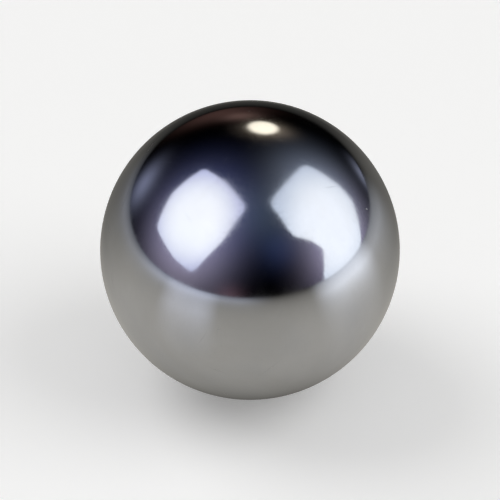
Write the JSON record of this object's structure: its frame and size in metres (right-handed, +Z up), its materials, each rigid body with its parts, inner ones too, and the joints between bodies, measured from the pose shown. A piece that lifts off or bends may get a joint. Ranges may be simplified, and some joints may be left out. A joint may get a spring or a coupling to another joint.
{
  "type": "steel ball",
  "caption": "Solid polished steel ball with a mirror finish, for bearings, ball valves, ball runs, detents and small weights.",
  "frame": {"origin": "centre of the ball", "axes": "+Z up, away from the point where the ball touches what it lies on; every axis through the centre is an axis of symmetry"},
  "size_m": [0.0096, 0.0096, 0.0096],
  "materials": {
    "polished_steel": "polished"
  },
  "bodies": {
    "root": {"ball": "polished_steel"}
  },
  "joints": []
}
